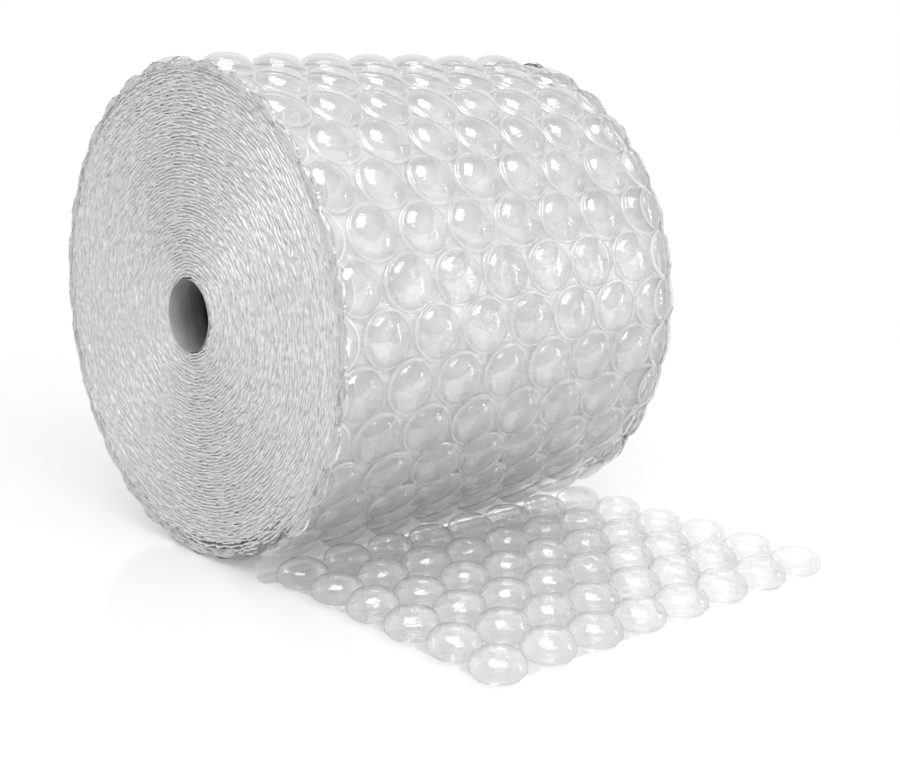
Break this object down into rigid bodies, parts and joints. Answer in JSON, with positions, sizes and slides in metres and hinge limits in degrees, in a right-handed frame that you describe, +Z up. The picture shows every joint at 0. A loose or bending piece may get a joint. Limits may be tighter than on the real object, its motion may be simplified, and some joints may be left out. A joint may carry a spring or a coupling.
{
  "type": "air bubble film roll",
  "caption": "Coreless roll of clear large-bubble cushioning film, its free end pulled out flat on the floor in front, with a round bore through the middle.",
  "frame": {"origin": "on the floor, under the middle of the whole footprint of roll and free end", "axes": "+X along the roll's axis, -Y towards the free end, +Z up"},
  "size_m": [0.32, 0.4928, 0.3468],
  "materials": {
    "bubble_film": "clear glossy polythene film, grey-white where many turns lie on each other"
  },
  "bodies": {
    "root": {"bubble_film_roll": "bubble_film"}
  },
  "joints": []
}
